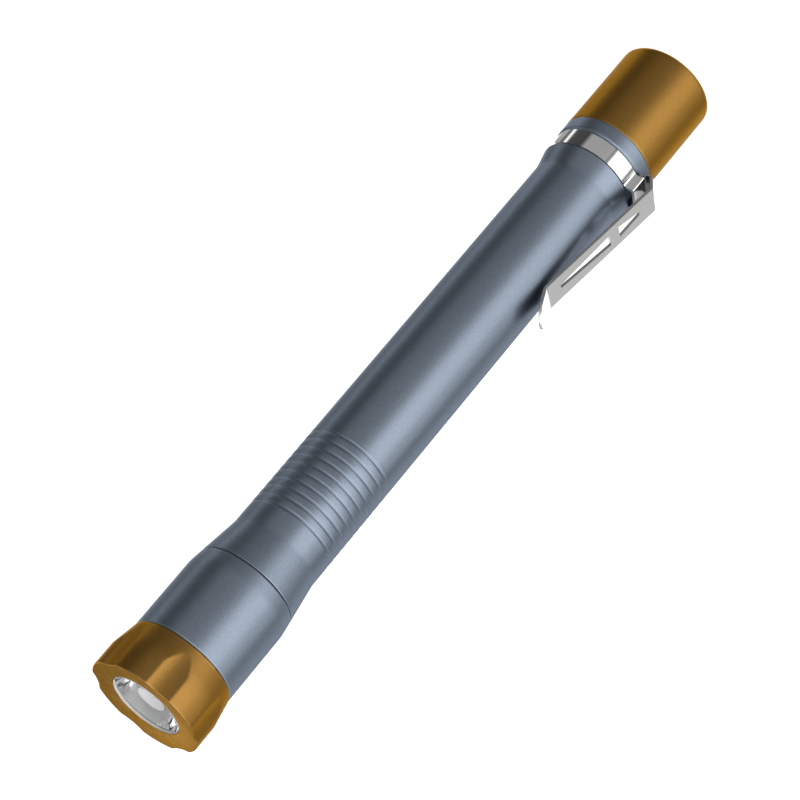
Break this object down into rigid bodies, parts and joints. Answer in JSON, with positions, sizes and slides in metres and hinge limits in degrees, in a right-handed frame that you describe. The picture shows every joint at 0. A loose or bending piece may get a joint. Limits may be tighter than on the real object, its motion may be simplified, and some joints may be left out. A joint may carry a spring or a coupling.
{
  "type": "penlight",
  "caption": "Slim two-cell penlight with a screwed tail cap, rubber tail button, steel pocket clip and a scalloped front ring over a collimator lens.",
  "frame": {"origin": "centre of the tail face, the plane of the tail cap's outer end", "axes": "+Z runs along the light's axis from the tail face to the lens, +X points from the axis to the pocket clip"},
  "size_m": [0.0208, 0.0186, 0.1351],
  "materials": {
    "blue_anodised": "satin blue-grey anodised",
    "bronze_anodised": "satin bronze anodised",
    "clip_steel": "polished spring steel",
    "cell_steel": "nickel-plated can",
    "sleeve_plastic": "blank shrink sleeve",
    "contact_metal": "plated contact metal",
    "black_rubber": "matte",
    "dark_plastic": "moulded",
    "pale_plastic": "moulded",
    "spring_steel": "bright wire",
    "board": "glass-epoxy board",
    "clear_optic": "clear acrylic, polished",
    "holder_plastic": "white moulded cup",
    "led_ceramic": "white ceramic with yellow phosphor",
    "led_clear": "clear silicone",
    "led_board_metal": "white solder mask on aluminium",
    "lead_insulation": "insulated leads",
    "heat_sink": "turned",
    "coil_ferrite": "ferrite"
  },
  "bodies": {
    "light": {"barrel": "blue_anodised", "front_cell": "cell_steel", "rear_cell": "cell_steel", "front_cell_sleeve": "sleeve_plastic", "rear_cell_sleeve": "sleeve_plastic", "tail_o_ring": "black_rubber"},
    "tail_carrier": {"battery_spring": "contact_metal"},
    "tail": {"tail_cap": "bronze_anodised", "button_boot": "black_rubber", "switch_spacer": "dark_plastic", "switch_housing": "dark_plastic", "switch_spring": "spring_steel", "switch_board": "board", "switch_ring": "contact_metal"},
    "button": {"switch_plunger": "pale_plastic"},
    "head_carrier": {"contact_spring": "contact_metal"},
    "head": {"head": "blue_anodised", "head_o_ring": "black_rubber", "led_pill": "heat_sink", "led_board": "led_board_metal", "led_wires": "lead_insulation", "led_package": "led_ceramic", "led_dome": "led_clear", "optic_holder": "holder_plastic", "optic": "clear_optic", "driver_board": "board", "driver_chip": "dark_plastic", "boost_coil": "coil_ferrite", "driver_ring": "contact_metal"},
    "bezel_carrier": {"lens_seal": "black_rubber"},
    "bezel": {"bezel": "bronze_anodised"},
    "clip": {"clip_band": "clip_steel"},
    "clip_tongue": {"clip_tongue": "clip_steel"}
  },
  "joints": [
    {"name": "tail_cap_advance", "type": "slide", "parent": "light", "child": "tail_carrier", "axis": [0, 0, -1], "range_m": [0, 0.00481], "deforming": ["battery_spring"]},
    {"name": "tail_cap_turn", "type": "hinge", "parent": "tail_carrier", "child": "tail", "pos_m": [0, 0, 0.01], "axis": [0, 0, -1], "range_deg": [0, 2160]},
    {"name": "head_advance", "type": "slide", "parent": "light", "child": "head_carrier", "axis": [0, 0, 1], "range_m": [0, 0.00401], "deforming": ["contact_spring"]},
    {"name": "head_turn", "type": "hinge", "parent": "head_carrier", "child": "head", "pos_m": [0, 0, 0.11], "axis": [0, 0, 1], "range_deg": [0, 1800]},
    {"name": "bezel_advance", "type": "slide", "parent": "head", "child": "bezel_carrier", "axis": [0, 0, 1], "range_m": [0, 0.00401]},
    {"name": "bezel_turn", "type": "hinge", "parent": "bezel_carrier", "child": "bezel", "pos_m": [0, 0, 0.11], "axis": [0, 0, 1], "range_deg": [0, 1800]},
    {"name": "button_press", "type": "slide", "parent": "tail", "child": "button", "axis": [0, 0, 1], "range_m": [0, 0.0011], "stiffness_N_per_m": 1500, "deforming": ["switch_spring", "button_boot"]},
    {"name": "clip_turn", "type": "hinge", "parent": "light", "child": "clip", "pos_m": [0, 0, 0.0219], "axis": [0, 0, 1], "continuous": true},
    {"name": "clip_flex", "type": "hinge", "parent": "clip", "child": "clip_tongue", "pos_m": [0.00903, 0, 0.0195], "axis": [0, 1, 0], "range_deg": [0, 7], "stiffness_Nm_per_rad": 2}
  ],
  "couplings": [
    {"joint": "tail_cap_advance", "follows": "tail_cap_turn", "m_per_rad": 0.00012732},
    {"joint": "head_advance", "follows": "head_turn", "m_per_rad": 0.00012732},
    {"joint": "bezel_advance", "follows": "bezel_turn", "m_per_rad": 0.00012732}
  ]
}
